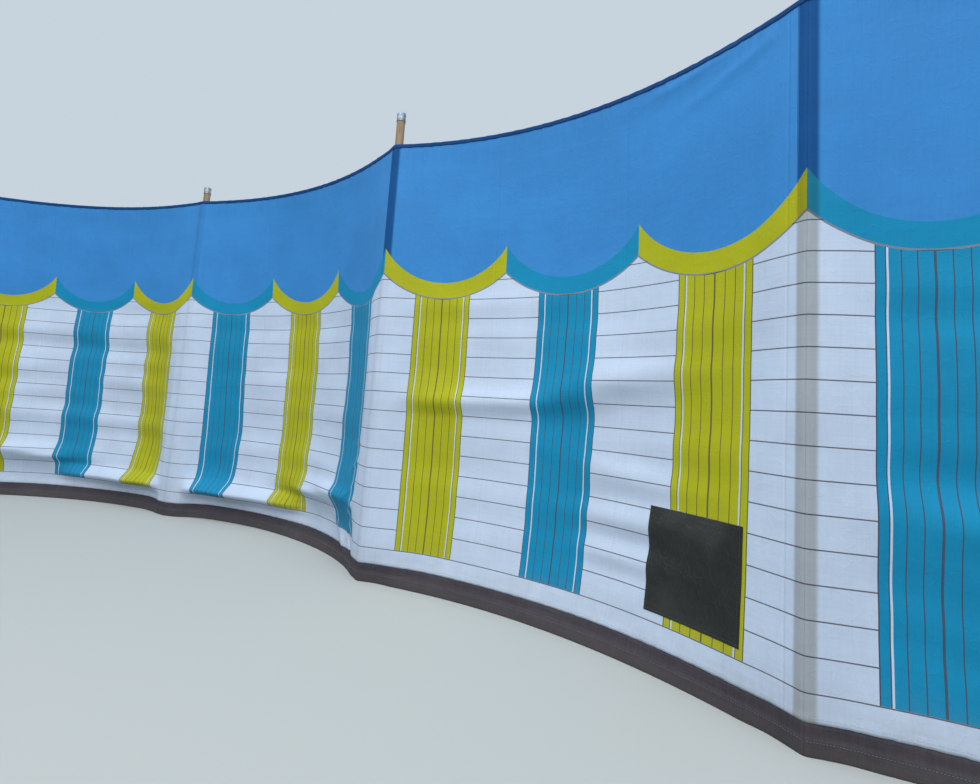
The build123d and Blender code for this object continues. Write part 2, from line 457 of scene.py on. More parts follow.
def fold_rise(bay, number, along, height):
    """How far the cloth stands out to the front of its plan line.

    It is the sum of five things. The wind's belly: less or more depth than the plan's, as a parabola
    up the cloth through three depths, times a parabola along it. The large folds, from the bay's
    chart. Soft cross folds: sine waves up the cloth whose phase drifts along it, over the lower two
    thirds. Single small folds: bells, longer than wide, from the table. Puckers: short waves along
    the seams, dying away from them. All of it dies away towards the poles.
    """
    cloth = bpy.context.scene.windbreak_cloth
    cross, at_foot, half_way, at_top = BAY_SLACK[number % len(BAY_SLACK)]
    chance = np.random.default_rng(cloth.seed + number)
    belly = along - bay.before
    edge = np.minimum(belly, bay.belly_length - belly)
    middle_of_bay = smooth_step(edge, 0.05, 0.20)
    clear_of_sleeve = smooth_step(edge, 0.040, 0.075)
    share = np.clip(belly / bay.belly_length, 0, 1)

    way_up = height / cloth.top
    bow = at_foot * (1 - way_up) * (1 - 2 * way_up) + 4 * half_way * way_up * (1 - way_up)
    bow = bow + at_top * way_up * (2 * way_up - 1)
    belly_share = 4 * share * (1 - share) * smooth_step(edge, 0.036, 0.11)

    waves = np.zeros(np.broadcast(along, height).shape)
    for wavelength, weight in CROSS_WAVES:
        phase, drift, sway, turn = chance.uniform((0, -1.6, 0.5, 0), (6.28, 1.6, 1.3, 6.28))
        wander = drift * share + sway * np.sin(5.2 * share + turn)
        waves = waves + weight * np.sin(2 * math.pi * height / wavelength + phase + wander)
    cross_zone = smooth_step(height, 0.10, 0.26) * (1 - 0.93 * smooth_step(height, 0.72, 1.05))
    rise = waves * cross * cross_zone * middle_of_bay - bow * belly_share
    rise = rise + charted_folds(bay, number, belly, height) * clear_of_sleeve

    for centre, level, tilt, half_length, half_width, fold in BAY_FOLDS[number % len(BAY_FOLDS)]:
        lean = math.radians(tilt)
        aside, above = belly - centre, height - level
        run = aside * math.cos(lean) + above * math.sin(lean)
        across = above * math.cos(lean) - aside * math.sin(lean)
        bell = np.exp(-((run / half_length) ** 2) - (across / half_width) ** 2)
        rise = rise + fold * bell * clear_of_sleeve

    pucker = sum(
        weight * np.sin(2 * math.pi * along / wavelength + phase)
        for (wavelength, weight), phase in zip(PUCKER_WAVES, chance.uniform(0, 6.28, 3))
    )
    tape_reach, strip_reach, tape_pucker, strip_pucker = 0.030, 0.018, 0.0012, 0.0014
    under_tape = np.exp(-np.maximum(cloth.top - TAPE_DROP - height, 0) / tape_reach)
    over_strip = np.exp(-np.abs(height - STRIP_TOP) / strip_reach)
    rise = rise + pucker * (tape_pucker * under_tape + strip_pucker * over_strip) * clear_of_sleeve
    return rise * cloth.slack


def on_cloth(bay, number, along, height, out):
    """Points in space: the plan line, moved to the front by the folds and by a distance out of it."""
    place, front = bay.plan(along)
    away = fold_rise(bay, number, along, height) + out
    flat = place + front * away[..., None]
    level = np.broadcast_to(height, away.shape)
    return np.concatenate((flat, level[..., None]), axis=-1)


def grid_quads(rows, columns, first=0):
    """The quads of a grid of points that are numbered row by row."""
    corner = first + np.arange(rows - 1)[:, None] * columns + np.arange(columns - 1)
    return np.stack((corner, corner + 1, corner + 1 + columns, corner + columns), axis=-1).reshape(-1, 4)


def ring_quads(index):
    """The quads between the rows of a tube's point numbers, where the last column is beside the first."""
    beside = np.roll(index, -1, axis=1)
    return np.stack((index[:-1], beside[:-1], beside[1:], index[1:]), axis=-1).reshape(-1, 4)


def make_piece(name, points, faces, materials, uv=None, slots=None, flat_faces=None):
    """A mesh object at the origin from arrays of points, faces, print lengths and material numbers.
    If its faces enclose less than nothing they all point inwards, and are turned round."""
    triangles = np.concatenate([faces[:, [0, k, k + 1]] for k in range(1, faces.shape[1] - 1)])
    a, b, c = (points[triangles[:, k]] for k in range(3))
    if np.einsum("ij,ij->i", a, np.cross(b, c)).sum() < 0:
        faces = faces[:, ::-1]
    mesh = bpy.data.meshes.new(name)
    mesh.vertices.add(len(points))
    mesh.vertices.foreach_set("co", points.astype(np.float32).ravel())
    width = faces.shape[1]
    mesh.loops.add(faces.size)
    mesh.loops.foreach_set("vertex_index", faces.astype(np.int32).ravel())
    mesh.polygons.add(len(faces))
    mesh.polygons.foreach_set("loop_start", np.arange(0, faces.size, width, dtype=np.int32))
    mesh.update(calc_edges=True)
    smooth = np.ones(len(faces), bool) if flat_faces is None else ~flat_faces
    mesh.polygons.foreach_set("use_smooth", smooth)
    if slots is not None:
        mesh.polygons.foreach_set("material_index", slots.astype(np.int32))
    if uv is not None:
        layer = mesh.uv_layers.new(name="Cloth")
        layer.uv.foreach_set("vector", uv[faces.ravel()].astype(np.float32).ravel())
    for material in materials:
        mesh.materials.append(material)
    if mesh.validate():
        raise RuntimeError(f"{name} has faces that Blender can't use")
    piece = bpy.data.objects.new(name, mesh)
    bpy.context.scene.collection.objects.link(piece)
    return piece


def closed_sheet(name, front, back, uv, materials):
    """A sheet with a front and a back, each a grid of rows by columns, closed by a rim all round."""
    rows, columns = front.shape[:2]
    count = rows * columns
    points = np.concatenate((front.reshape(-1, 3), back.reshape(-1, 3)))
    near = grid_quads(rows, columns)
    far = grid_quads(rows, columns, count)[:, ::-1]
    index = np.arange(count).reshape(rows, columns)
    walk = np.concatenate((index[0], index[1:, -1], index[-1, -2::-1], index[-2:0:-1, 0]))
    following = np.roll(walk, -1)
    rim = np.stack((following, walk, walk + count, following + count), axis=-1)
    faces = np.concatenate((near, far, rim))
    slots = np.zeros(len(faces), int)
    slots[len(near) : len(near) + len(far)] = len(materials) - 1
    is_rim = np.arange(len(faces)) >= len(near) + len(far)
    return make_piece(name, points, faces, materials, np.tile(uv.reshape(-1, 2), (2, 1)), slots, is_rim)


def swept_tube(name, rings, uv, materials):
    """A closed profile carried along a path: rings is path by profile, and each end is closed by a
    quad strip that zips its profile shut, point against point from both sides."""
    steps, around = rings.shape[:2]
    index = np.arange(steps * around).reshape(steps, around)
    side = ring_quads(index)
    step = np.arange(around // 2 - 1)
    zipped = np.stack((step, step + 1, around - 2 - step, around - 1 - step), axis=-1)
    first = index[0][zipped][:, ::-1]
    last = index[-1][zipped]
    faces = np.concatenate((side, first, last))
    is_end = np.arange(len(faces)) >= len(side)
    return make_piece(name, rings.reshape(-1, 3), faces, materials, uv.reshape(-1, 2), None, is_end)


def stitch_row(name, points, along, outwards, material):
    """A row of stitches, one spindle of thread at each point: two pointed ends and two square rings
    between them, the second ring as wide as the first, sunk by a quarter of the thread."""
    trim = bpy.context.scene.windbreak_trim
    half, thick, shoulder = trim.stitch_length / 2, trim.thread / 2, 0.6
    across = np.cross(along, outwards)
    middle = points + outwards * thick * 0.5
    corners = [middle - along * half - outwards * thick]
    for place in (-shoulder, shoulder):
        for side, up in ((1, 0), (0, 1), (-1, 0), (0, -1)):
            corners.append(middle + along * half * place + (across * side + outwards * up) * thick)
    corners.append(middle + along * half - outwards * thick)
    spindle = np.stack(corners, axis=1)
    near = [(0, 1 + k, 1 + (k + 1) % 4) for k in range(4)]
    far = [(9, 5 + (k + 1) % 4, 5 + k) for k in range(4)]
    tube = [(1 + k, 5 + k, 5 + (k + 1) % 4, 1 + (k + 1) % 4) for k in range(4)]
    shell = near + far + [t for q in tube for t in ((q[0], q[1], q[2]), (q[0], q[2], q[3]))]
    faces = np.array(shell)[None] + np.arange(len(points))[:, None, None] * spindle.shape[1]
    return make_piece(name, spindle.reshape(-1, 3), faces.reshape(-1, 3), [material])


def surface_frame(bay, number, along, height, out, way):
    """Points on the cloth with their unit vectors along a seam and out of the cloth, from small steps
    along the cloth and up it. way is 0 for a seam along the cloth and 1 for one up it, and out is less
    than nothing on its back."""
    step = 0.001
    here = on_cloth(bay, number, along, height, out)
    ahead, behind = (on_cloth(bay, number, along + way_on, height, out) for way_on in (step, -step))
    over, under = (on_cloth(bay, number, along, height + way_up, out) for way_up in (step, -step))
    level, steep = unit(ahead - behind), unit(over - under)
    return here, (steep if way else level), unit(np.cross(level, steep)) * np.sign(out)


def dress(piece, node):
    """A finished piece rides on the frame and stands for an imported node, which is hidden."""
    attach(piece, "root")
    if node:
        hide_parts(node)
    return piece


def stitched_along(name, bay, number, height, face, thread):
    """A row of stitches along a bay at one height on each side of its cloth, as one piece."""
    pitch = bpy.context.scene.windbreak_trim.stitch_pitch
    spots = np.arange(pitch, bay.length - pitch, pitch)
    level = np.full(spots.shape, height)
    sides = [surface_frame(bay, number, spots, level, out, 0) for out in (face, -face)]
    place, way, outwards = (np.concatenate(parts) for parts in zip(*sides))
    return dress(stitch_row(name, place, way, outwards, thread), None)


def swept_along(name, bay, number, along, height, out, span, material):
    """A closed profile carried along a bay on the folds of its cloth. height and out place each of its
    points at each length, and span says how far round the profile it is, for the material."""
    rings = on_cloth(bay, number, along[:, None], height, out)
    lengths = bay.printed(number, along, bpy.context.scene.windbreak_cloth.bay_cut)
    uv = np.stack(np.broadcast_arrays(lengths[:, None], span[None, :]), axis=-1)
    return swept_tube(name, rings, uv, [material])


class Shades:
    """Adds nodes to a material or a node group and joins them up."""

    def __init__(self, tree):
        self.tree = tree

    def add(self, kind, **settings):
        """A node of a kind, with settings by attribute."""
        node = self.tree.nodes.new(kind)
        for name, value in settings.items():
            setattr(node, name, value)
        return node

    def feed(self, socket, value):
        """Joins a socket to another, or sets its number, vector or colour."""
        if isinstance(value, bpy.types.NodeSocket):
            self.tree.links.new(value, socket)
        elif isinstance(value, (int, float)) or socket.type == "VECTOR":
            socket.default_value = value
        else:
            socket.default_value = (*value, 1.0)

    def split(self, place):
        """The three numbers of a place."""
        node = self.add("ShaderNodeSeparateXYZ")
        self.feed(node.inputs[0], place)
        return node.outputs[:3]

    def space(self):
        """The place in space, as Object coordinates."""
        return self.add("ShaderNodeTexCoord").outputs["Object"]

    def maths(self, operation, *values):
        """One step of arithmetic on sockets or numbers."""
        node = self.add("ShaderNodeMath", operation=operation)
        for socket, value in zip(node.inputs, values):
            self.feed(socket, value)
        return node.outputs[0]

    def plus(self, first, second):
        """Two values added."""
        return self.maths("ADD", first, second)

    def minus(self, first, second):
        """The first value less the second."""
        return self.maths("SUBTRACT", first, second)

    def times(self, first, second):
        """Two values multiplied."""
        return self.maths("MULTIPLY", first, second)

    def over(self, first, second):
        """The first value divided by the second."""
        return self.maths("DIVIDE", first, second)

    def between(self, value, low, high):
        """1 where a value lies from low to high, and 0 elsewhere."""
        above = self.maths("GREATER_THAN", value, low)
        return self.times(above, self.maths("LESS_THAN", value, high))

    def ramp(self, value, low, high, from_value=0.0, to_value=1.0):
        """A smooth change from one number to another while a value goes from low to high."""
        node = self.add("ShaderNodeMapRange", interpolation_type="SMOOTHSTEP")
        for socket, number in zip(node.inputs, (value, low, high, from_value, to_value)):
            self.feed(socket, number)
        return node.outputs[0]

    def mix(self, share, first, second, blend="MIX"):
        """Two colours mixed by a share."""
        node = self.add("ShaderNodeMix", data_type="RGBA", blend_type=blend)
        for name, value in (("Factor_Float", share), ("A_Color", first), ("B_Color", second)):
            self.feed(next(s for s in node.inputs if s.identifier == name), value)
        return next(s for s in node.outputs if s.identifier == "Result_Color")

    def noise(self, place, scale, detail=2.0, roughness=0.5, stretch=(1, 1, 1)):
        """Soft noise from 0 to 1 whose grains are stretched along an axis where its number is small."""
        turn = self.add("ShaderNodeMapping")
        self.feed(turn.inputs["Vector"], place)
        self.feed(turn.inputs["Scale"], stretch)
        node = self.add("ShaderNodeTexNoise")
        self.feed(node.inputs["Vector"], turn.outputs[0])
        for name, value in (("Scale", scale), ("Detail", detail), ("Roughness", roughness)):
            self.feed(node.inputs[name], value)
        return node.outputs["Fac"]

    def use(self, group, **values):
        """A node group placed in this tree, with its inputs set by name."""
        node = self.add("ShaderNodeGroup", node_tree=group)
        for name, value in values.items():
            self.feed(node.inputs[name.replace("_", " ")], value)
        return node.outputs


def open_group(name, inputs, outputs):
    """A new shader node group with named sockets, and the helper that fills it."""
    tree = bpy.data.node_groups.new(name, "ShaderNodeTree")
    for label, kind, value in inputs:
        socket = tree.interface.new_socket(label, in_out="INPUT", socket_type=kind)
        if value is not None:
            socket.default_value = value
    for label, kind in outputs:
        tree.interface.new_socket(label, in_out="OUTPUT", socket_type=kind)
    shades = Shades(tree)
    given = shades.add("NodeGroupInput").outputs
    results = shades.add("NodeGroupOutput").inputs
    return tree, shades, given, results


FLOAT, VECTOR, COLOUR = "NodeSocketFloat", "NodeSocketVector", "NodeSocketColor"


def group_once(build):
    """Makes a node group the first time it is asked for, and gives the same one after that."""
    name = build.__name__.replace("_", " ").title()
    return bpy.data.node_groups.get(name) or build(name)


def woven_threads(name):
    """A plain weave: one set of threads stands up where the other goes under, as sines of the place
    over the pitch, with thick and thin threads as fine streaks both ways."""
    tree, s, given, results = open_group(
        name,
        [("Place", VECTOR, None), ("Pitch", FLOAT, 0.001), ("Depth", FLOAT, 0.00003)],
        [("Height", FLOAT), ("Tone", FLOAT)],
    )
    along, height, _ = s.split(given["Place"])
    turns = s.over(2 * math.pi, given["Pitch"])
    weave = s.times(s.maths("SINE", s.times(along, turns)), s.maths("SINE", s.times(height, turns)))
    upright = s.noise(given["Place"], 260, 1, stretch=(1, 0.03, 1))
    level = s.noise(given["Place"], 260, 1, stretch=(0.03, 1, 1))
    streaks = s.plus(upright, level)
    s.feed(results["Height"], s.times(s.plus(weave, streaks), given["Depth"]))
    s.feed(results["Tone"], s.ramp(streaks, 0.6, 1.4))
    return tree


def soft_creases(name):
    """Crumples of handled cloth: broad soft noise, and sharper creases where folded noise nears its
    middle value. The height is in metres for a Depth in metres."""
    tree, s, given, results = open_group(
        name,
        [("Place", VECTOR, None), ("Scale", FLOAT, 9.0), ("Depth", FLOAT, 0.0006)],
        [("Height", FLOAT), ("Line", FLOAT)],
    )
    broad = s.noise(given["Place"], given["Scale"], 3, 0.55, stretch=(1, 1.5, 1))
    fine = s.noise(given["Place"], s.times(given["Scale"], 2.3), 2, 0.5, stretch=(1.6, 1, 1))
    sharp = s.ramp(s.maths("ABSOLUTE", s.minus(fine, 0.5)), 0.0, 0.035, 1.0, 0.0)
    rise = s.plus(broad, s.times(sharp, 0.10))
    s.feed(results["Height"], s.times(rise, given["Depth"]))
    s.feed(results["Line"], sharp)
    return tree


def seam_puckers(name):
    """Short upright puckers where the cloth is gathered by a seam, dying away from the seam's height,
    and the faint upright folds of a cloth that was packed: both as a height in metres."""
    tree, s, given, results = open_group(
        name,
        [("Place", VECTOR, None), ("Top", FLOAT, 1.39), ("Foot", FLOAT, 0.055), ("Fold Pitch", FLOAT, 0.4)],
        [("Height", FLOAT)],
    )
    along, height, _ = s.split(given["Place"])
    gathered = s.noise(given["Place"], 46, 2, 0.6, stretch=(1, 0.16, 1))
    near_top = s.ramp(s.minus(given["Top"], height), 0.0, 0.075, 0.0045, 0.0)
    near_foot = s.ramp(s.minus(height, given["Foot"]), 0.0, 0.055, 0.0035, 0.0)
    rise = s.times(gathered, s.plus(near_top, near_foot))
    share = s.maths("FRACT", s.over(along, given["Fold Pitch"]))
    fold = s.ramp(s.maths("ABSOLUTE", s.minus(share, 0.91)), 0.0, 0.011, -0.0007, 0.0)
    s.feed(results["Height"], s.plus(rise, fold))
    return tree


def ground_dust(name):
    """Dust and splashes near the ground: a mask that fades upwards from the ground, broken by noise."""
    tree, s, given, results = open_group(
        name,
        [("Place", VECTOR, None), ("Reach", FLOAT, 0.12), ("Amount", FLOAT, 0.5)],
        [("Mask", FLOAT)],
    )
    height = s.split(given["Place"])[2]
    patchy = s.noise(given["Place"], 14, 4, 0.6, stretch=(1, 1, 2))
    level = s.minus(height, s.times(patchy, given["Reach"]))
    low = s.ramp(level, s.times(given["Reach"], -0.5), given["Reach"], 1.0, 0.0)
    s.feed(results["Mask"], s.times(low, given["Amount"]))
    return tree


def deckchair_print(name):
    """The printed design, from the length along the wall and the height.

    A plain top band ends in hanging scallops with an edging, each the middle of a half ellipse that is
    wider than the scallop, so that two meet at an angle. Under the middle of each scallop a broad
    stripe runs down, lime and teal by turns, with fine lines in it, and thin level lines cross the
    pale field between the stripes. A plain band closes it at the foot.
    """
    # The edging's outer rim and that of the line round it, as shares of the ellipse, and the narrowing
    rim, line_rim, narrowing = 1.22, 1.238, 1.72
    # From a stripe's edge in: the dark line, and both sides of the pale one; then the fine lines
    dark_width, pale_from, pale_to, pin_pitch, pin_width = 0.0022, 0.018, 0.0215, 0.024, 0.0020
    # Heights of the stripes' foot and the lowest level line, and the lines' pitch and width
    stripe_foot, lowest_line, line_pitch, line_width = 0.1035, 0.100, 0.06, 0.0024
    tree, s, given, results = open_group(
        name,
        [
            ("Place", VECTOR, None),
            ("Scallop Width", FLOAT, 0.4),
            ("Scallop Top", FLOAT, 1.16),
            ("Scallop Drop", FLOAT, 0.225),
            ("Stripe Width", FLOAT, 0.18),
            ("Top Colour", COLOUR, None),
            ("Field Colour", COLOUR, None),
            ("Lime Colour", COLOUR, None),
            ("Teal Colour", COLOUR, None),
            ("Line Colour", COLOUR, None),
        ],
        [("Color", COLOUR), ("Top Mask", FLOAT)],
    )
    along, height, _ = s.split(given["Place"])
    turns = s.over(along, given["Scallop Width"])
    number = s.maths("FLOOR", turns)
    aside = s.minus(s.minus(turns, number), 0.5)
    off_middle = s.times(s.maths("ABSOLUTE", aside), given["Scallop Width"])
    odd = s.maths("ABSOLUTE", s.maths("MODULO", number, 2.0))
    bright = s.mix(odd, given["Lime Colour"], given["Teal Colour"])

    sideways = s.maths("POWER", s.times(aside, narrowing), 2.0)
    drop = s.over(s.minus(given["Scallop Top"], height), given["Scallop Drop"])
    reach = s.maths("SQRT", s.plus(sideways, s.maths("POWER", s.maths("MAXIMUM", drop, 0.0), 2.0)))
    above = s.maths("LESS_THAN", drop, 0.0)
    inside = s.maths("LESS_THAN", reach, 1.0)
    top_band = s.maths("MAXIMUM", above, inside)
    edging = s.times(s.between(reach, 1.0, rim), s.minus(1.0, above))
    edge_line = s.times(s.between(reach, rim, line_rim), s.minus(1.0, above))
    open_field = s.maths("GREATER_THAN", reach, line_rim)

    half_stripe = s.times(given["Stripe Width"], 0.5)
    above_foot = s.maths("GREATER_THAN", height, stripe_foot)
    stripe = s.times(s.maths("LESS_THAN", off_middle, half_stripe), above_foot)
    from_edge = s.minus(half_stripe, off_middle)
    pale_pin = s.between(from_edge, pale_from, pale_to)
    dark_pin = s.between(from_edge, 0.0, dark_width)
    fine_pin = s.maths("LESS_THAN", s.maths("MODULO", off_middle, pin_pitch), pin_width)
    rung = s.plus(s.minus(height, lowest_line + 0.001), 100 * line_pitch)
    level_line = s.maths("LESS_THAN", s.maths("MODULO", rung, line_pitch), line_width)
    level_line = s.times(level_line, s.maths("GREATER_THAN", height, lowest_line))

    shade = s.mix(s.times(fine_pin, 0.80), bright, given["Line Colour"])
    shade = s.mix(pale_pin, shade, given["Field Colour"])
    shade = s.mix(s.times(dark_pin, 0.85), shade, given["Line Colour"])
    field = s.mix(s.times(level_line, 0.88), given["Field Colour"], given["Line Colour"])
    field = s.mix(s.times(stripe, open_field), field, shade)
    field = s.mix(edging, field, bright)
    field = s.mix(s.times(edge_line, 0.7), field, given["Line Colour"])
    s.feed(results["Color"], s.mix(top_band, field, given["Top Colour"]))
    s.feed(results["Top Mask"], top_band)
    return tree


def pole_shadow(name):
    """Painted shade where a pole in its sleeve would show through the cloth: a band to the right of a seam at
    the pole's left edge, dark there and fading out, and the thin dark line of the seam itself, which is
    needle holes with painted shade in its crease. The band is weak at the first poles, and on the pale field
    weaker still."""
    tree, s, given, results = open_group(
        name,
        [("Place", VECTOR, None), ("Bay", FLOAT, 1.2)],
        [("Band", FLOAT), ("Pale Band", FLOAT), ("Seam", FLOAT)],
    )
    along = s.split(given["Place"])[0]
    nearest = s.times(s.maths("ROUND", s.over(along, given["Bay"])), given["Bay"])
    aside = s.minus(along, nearest)
    rising = s.ramp(aside, -0.0175, -0.0150)
    fading = s.ramp(aside, 0.014, 0.024, 1.0, 0.0)
    bays_along = s.over(nearest, given["Bay"])
    band = s.times(rising, fading)
    s.feed(results["Band"], s.times(band, s.ramp(bays_along, 0.8, 2.0, 0.08, 1.0)))
    s.feed(results["Pale Band"], s.times(band, s.ramp(bays_along, 1.9, 3.0, 0.10, 1.0)))
    s.feed(results["Seam"], s.between(aside, -0.0185, -0.0168))
    return tree


def new_material(name, roughness=0.6, specular=0.3, sheen=0.0, metallic=0.0):
    """A material with a Principled shader whose plain numbers are set on its own sockets."""
    material = bpy.data.materials.new(name)
    material.use_nodes = True
    shades = Shades(material.node_tree)
    shader = material.node_tree.nodes["Principled BSDF"]
    shader.inputs["Roughness"].default_value = roughness
    shader.inputs["Specular IOR Level"].default_value = specular
    shader.inputs["Sheen Weight"].default_value = sheen
    shader.inputs["Metallic"].default_value = metallic
    return material, shades, shader


def bump(s, shader, height):
    """Feeds a height in metres to the shader's normal."""
    node = s.add("ShaderNodeBump")
    s.feed(node.inputs["Strength"], 1.0)
    s.feed(node.inputs["Distance"], 1.0)
    s.feed(node.inputs["Height"], height)
    s.feed(shader.inputs["Normal"], node.outputs[0])


def cloth_places(s):
    """The cloth's own lengths, from its UV map, and the place in space."""
    lengths = s.add("ShaderNodeUVMap", uv_map="Cloth").outputs[0]
    return lengths, s.space()


def printed_cloth_material(name, show_through):
    """Printed polyester, with the painted shade of the poles in their sleeves. The back shows the print only
    as far as the dye goes through.
    """
    scene = bpy.context.scene
    design = scene.windbreak_print
    material, s, shader = new_material(name, roughness=0.62, specular=0.16, sheen=0.03)
    lengths, space = cloth_places(s)
    printed = s.use(
        group_once(deckchair_print),
        Place=lengths,
        Scallop_Width=design.scallop_width,
        Scallop_Top=design.scallop_top,
        Scallop_Drop=design.scallop_drop,
        Stripe_Width=design.stripe_width,
        Top_Colour=design.top_colour[:],
        Field_Colour=design.field_colour[:],
        Lime_Colour=design.lime_colour[:],
        Teal_Colour=design.teal_colour[:],
        Line_Colour=design.line_colour[:],
    )
    colour = s.mix(1 - show_through, printed["Color"], design.field_colour[:])
    threads = s.use(group_once(woven_threads), Place=lengths, Pitch=0.0011, Depth=0.000018)
    creases = s.use(group_once(soft_creases), Place=lengths, Scale=8.0, Depth=0.0016)
    dust = s.use(group_once(ground_dust), Place=space, Reach=0.10, Amount=0.35)["Mask"]
    shadow = s.use(group_once(pole_shadow), Place=lengths, Bay=scene.windbreak_cloth.bay_cut)
    uneven = s.noise(lengths, 5, 4, 0.6)
    tone = s.plus(s.ramp(uneven, 0.3, 0.7, 0.93, 1.03), s.times(threads["Tone"], 0.05))
    colour = s.mix(1.0, colour, s.minus(tone, 0.025), "MULTIPLY")
    # Painted shade of the pole in its sleeve, dark on the top band
    deep = s.times(s.times(shadow["Band"], printed["Top Mask"]), show_through)
    colour = s.mix(deep, colour, (0.03, 0.30, 0.42), "MULTIPLY")
    on_field = s.minus(1.0, printed["Top Mask"])
    # Painted shade of the pole, fainter on the pale field
    faint = s.times(s.times(shadow["Pale Band"], on_field), show_through)
    colour = s.mix(faint, colour, (0.66, 0.62, 0.55), "MULTIPLY")
    # The seam's thin dark line: needle holes, with painted shade in its crease
    seam = s.times(shadow["Seam"], s.ramp(printed["Top Mask"], 0.0, 1.0, 0.15, 0.5))
    colour = s.mix(seam, colour, (0.01, 0.03, 0.10))
    colour = s.mix(dust, colour, (0.26, 0.24, 0.20))
    s.feed(shader.inputs["Base Color"], colour)
    s.feed(shader.inputs["Roughness"], s.ramp(uneven, 0.2, 0.8, 0.58, 0.70))
    pressed = s.times(shadow["Seam"], -0.0005)
    gathered = s.use(
        group_once(seam_puckers),
        Place=lengths,
        Top=scene.windbreak_cloth.top - TAPE_DROP,
        Foot=STRIP_TOP,
        Fold_Pitch=0.4,
    )
    rise = s.plus(threads["Height"], s.plus(creases["Height"], pressed))
    bump(s, shader, s.plus(rise, gathered["Height"]))
    return material


def plain_cloth_material(
    name, colour, roughness, pitch, depth, crumple, dusty, woven=0.35, specular=0.14, painted_sheen=0.0
):
    """A plain dyed cloth or tape: weave, uneven dye, broad paler clouds of painted sheen, paler worn
    creases and dust near the ground."""
    material, s, shader = new_material(name, roughness=roughness, specular=specular, sheen=0.03)
    lengths, space = cloth_places(s)
    threads = s.use(group_once(woven_threads), Place=lengths, Pitch=pitch, Depth=depth)
    creases = s.use(group_once(soft_creases), Place=lengths, Scale=16.0, Depth=crumple)
    uneven = s.noise(lengths, 12, 4, 0.6)
    pale = tint(colour, 1.5, 0.02)
    shade = s.mix(s.ramp(uneven, 0.3, 0.7), tint(colour, 0.78), colour)
    # Broad paler clouds of painted sheen
    clouds = s.ramp(s.noise(lengths, 7, 2, 0.5), 0.42, 0.68, 0.0, painted_sheen)
    shade = s.mix(clouds, shade, pale)
    shade = s.mix(s.times(threads["Tone"], woven), shade, pale)
    shade = s.mix(s.times(creases["Line"], 0.16), shade, pale)
    dust = s.use(group_once(ground_dust), Place=space, Reach=0.05, Amount=dusty)["Mask"]
    shade = s.mix(dust, shade, (0.20, 0.18, 0.15))
    s.feed(shader.inputs["Base Color"], shade)
    s.feed(shader.inputs["Roughness"], s.ramp(uneven, 0.2, 0.8, roughness - 0.06, roughness + 0.06))
    bump(s, shader, s.plus(threads["Height"], creases["Height"]))
    return material


def thread_material(name, colour):
    """Sewing thread: two plies that twist, as fine slanted bands of light and shade."""
    material, s, shader = new_material(name, roughness=0.5, specular=0.3, sheen=0.2)
    space = s.space()
    plies = s.noise(space, 1500, 1, stretch=(1, 1, 0.4))
    s.feed(shader.inputs["Base Color"], s.mix(s.ramp(plies, 0.35, 0.65), tint(colour, 0.55), colour))
    s.feed(shader.inputs["Roughness"], s.ramp(plies, 0.3, 0.7, 0.45, 0.6))
    bump(s, shader, s.times(plies, 0.00008))
    return material


def wood_material(name):
    """Sanded pine: growth rings cut along the pole as long pale and brown bands, with fine pores, a
    few darker flecks and grime towards the ground."""
    colour = bpy.context.scene.windbreak_finish.wood_colour[:]
    material, s, shader = new_material(name, roughness=0.55, specular=0.3)
    space = s.space()
    bands = s.noise(space, 150, 2, 0.5, stretch=(1, 1, 0.035))
    pores = s.noise(space, 900, 2, 0.6, stretch=(1, 1, 0.02))
    flecks = s.noise(space, 70, 2, 0.5, stretch=(1, 1, 0.25))
    late, pale = tint(colour, (0.78, 0.71, 0.64)), tint(colour, (1.16, 1.2, 1.3))
    shade = s.mix(s.ramp(bands, 0.35, 0.68), pale, late)
    shade = s.mix(s.ramp(pores, 0.58, 0.70, 0.0, 0.45), shade, tint(colour, 0.4))
    shade = s.mix(s.ramp(flecks, 0.70, 0.78, 0.0, 0.5), shade, (0.12, 0.06, 0.025))
    dust = s.use(group_once(ground_dust), Place=space, Reach=0.10, Amount=0.6)["Mask"]
    shade = s.mix(dust, shade, (0.16, 0.13, 0.09))
    s.feed(shader.inputs["Base Color"], shade)
    s.feed(shader.inputs["Roughness"], s.ramp(bands, 0.3, 0.7, 0.48, 0.64))
    bump(s, shader, s.times(s.plus(bands, pores), 0.00012))
    return material


def cap_material(name):
    """Bright zinc plate: cloudy spangle, upright scuffs and a few dull spots, smooth where rubbed."""
    colour = bpy.context.scene.windbreak_finish.metal_colour[:]
    material, s, shader = new_material(name, roughness=0.32, specular=0.5, metallic=1.0)
    space = s.space()
    clouds = s.noise(space, 120, 3, 0.55)
    scuffs = s.noise(space, 420, 2, 0.6, stretch=(1, 1, 0.08))
    spots = s.noise(space, 260, 2, 0.5)
    shade = s.mix(s.ramp(clouds, 0.35, 0.65), tint(colour, 0.76), colour)
    shade = s.mix(s.ramp(spots, 0.66, 0.72, 0.0, 0.7), shade, (0.20, 0.19, 0.17))
    s.feed(shader.inputs["Base Color"], shade)
    rough = s.plus(s.ramp(clouds, 0.3, 0.7, 0.66, 0.54), s.ramp(scuffs, 0.5, 0.7, 0.0, 0.16))
    s.feed(shader.inputs["Roughness"], rough)
    bump(s, shader, s.times(s.plus(scuffs, clouds), 0.00010))
    return material


